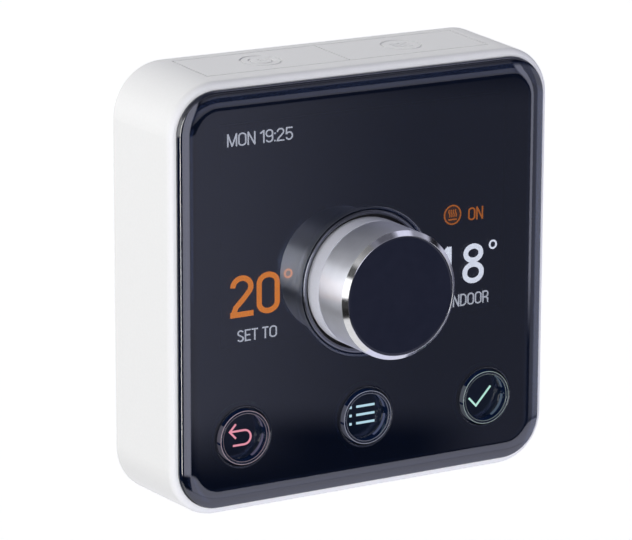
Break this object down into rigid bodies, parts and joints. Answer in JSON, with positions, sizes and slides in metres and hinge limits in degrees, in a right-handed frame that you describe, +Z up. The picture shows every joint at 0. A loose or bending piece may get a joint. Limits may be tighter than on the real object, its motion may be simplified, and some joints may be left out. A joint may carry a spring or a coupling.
{
  "type": "wall thermostat",
  "caption": "Square wall thermostat with a dark pillow-edged screen lens, a rotary metal dial, round push buttons, flush top keys and a pull-off head on a screwed wall plate.",
  "frame": {"origin": "middle of the wall plate's back face, on the wall", "axes": "+X to the right as seen from the front, +Y into the wall, +Z up; the front looks along -Y"},
  "size_m": [0.097, 0.0402, 0.097],
  "materials": {
    "case_plastic": "satin white moulded plastic",
    "plate_plastic": "matte white moulded plastic",
    "cover_plastic": "matte white moulded plastic with a fine texture",
    "lens_tint": "polished dark tinted acrylic",
    "adhesive_black": "black foam tape",
    "frame_black": "matte black plastic",
    "display_glass": "dark display glass",
    "frame_white": "white plastic",
    "ribbon_amber": "amber flexible film",
    "connector_ivory": "ivory plastic",
    "board_green": "green solder mask",
    "chip_black": "black moulded plastic",
    "shield_tin": "tinned steel shield",
    "led_white": "milky lamp body",
    "switch_metal": "stamped steel",
    "shaft_steel": "turned steel",
    "dial_metal": "fine turned, satin, with a polished front bevel",
    "dial_cap_dark": "polished dark cap",
    "button_clear": "clear smoked acrylic",
    "cell_wrap": "printed plastic sleeve with no marks",
    "contact_nickel": "nickel plated spring steel",
    "screw_zinc": "zinc plated steel",
    "screen_grey": "lit pale grey characters on the display",
    "screen_white": "lit white characters on the display",
    "screen_amber": "lit amber characters on the display",
    "icon_red": "lit red sign inside a clear button",
    "icon_cyan": "lit pale blue sign inside a clear button",
    "icon_mint": "lit mint sign inside a clear button"
  },
  "bodies": {
    "plate": {"wall_plate": "plate_plastic"},
    "head": {"body_shell": "case_plastic", "rear_cover": "cover_plastic", "front_lens": "lens_tint", "lens_adhesive": "adhesive_black", "front_frame": "frame_black", "display_panel": "display_glass", "display_backlight": "frame_white", "display_ribbon": "ribbon_amber", "display_connector": "connector_ivory", "main_board": "board_green", "board_chips": "chip_black", "radio_module": "shield_tin", "temperature_sensor": "chip_black", "button_leds": "led_white", "front_switches": "switch_metal", "top_switches": "chip_black", "encoder_body": "switch_metal", "battery_1": "cell_wrap", "battery_2": "cell_wrap", "battery_3": "cell_wrap", "battery_4": "cell_wrap", "battery_springs": "contact_nickel", "battery_contacts": "contact_nickel", "case_screws": "screw_zinc", "board_screws": "screw_zinc"},
    "dial": {"encoder_shaft": "shaft_steel", "dial_hub": "frame_black", "dial_sleeve": "dial_metal", "dial_cap": "dial_cap_dark"},
    "back_push": {"back_button": "button_clear", "back_plunger": "chip_black"},
    "menu_push": {"menu_button": "button_clear", "menu_plunger": "chip_black"},
    "confirm_push": {"confirm_button": "button_clear", "confirm_plunger": "chip_black"},
    "left_flap": {"left_key": "case_plastic", "left_key_plunger": "chip_black"},
    "right_flap": {"right_key": "case_plastic", "right_key_plunger": "chip_black"}
  },
  "joints": [
    {"name": "head_pull_off", "type": "slide", "parent": "plate", "child": "head", "axis": [0, -1, 0], "range_m": [0, 0.03]},
    {"name": "dial_turn", "type": "hinge", "parent": "head", "child": "dial", "pos_m": [0, 0, 0], "axis": [0, -1, 0], "continuous": true},
    {"name": "back_press", "type": "slide", "parent": "head", "child": "back_push", "axis": [0, 1, 0], "range_m": [0, 0.0006], "stiffness_N_per_m": 1500, "springref_m": -0.0003},
    {"name": "menu_press", "type": "slide", "parent": "head", "child": "menu_push", "axis": [0, 1, 0], "range_m": [0, 0.0006], "stiffness_N_per_m": 1500, "springref_m": -0.0003},
    {"name": "confirm_press", "type": "slide", "parent": "head", "child": "confirm_push", "axis": [0, 1, 0], "range_m": [0, 0.0006], "stiffness_N_per_m": 1500, "springref_m": -0.0003},
    {"name": "left_key_press", "type": "hinge", "parent": "head", "child": "left_flap", "pos_m": [-0.0177, -0.003, 0.0466], "axis": [1, 0, 0], "range_deg": [0, 1.9], "stiffness_Nm_per_rad": 0.85, "springref_deg": -0.57},
    {"name": "right_key_press", "type": "hinge", "parent": "head", "child": "right_flap", "pos_m": [0.0177, -0.003, 0.0466], "axis": [1, 0, 0], "range_deg": [0, 1.9], "stiffness_Nm_per_rad": 0.85, "springref_deg": -0.57}
  ]
}
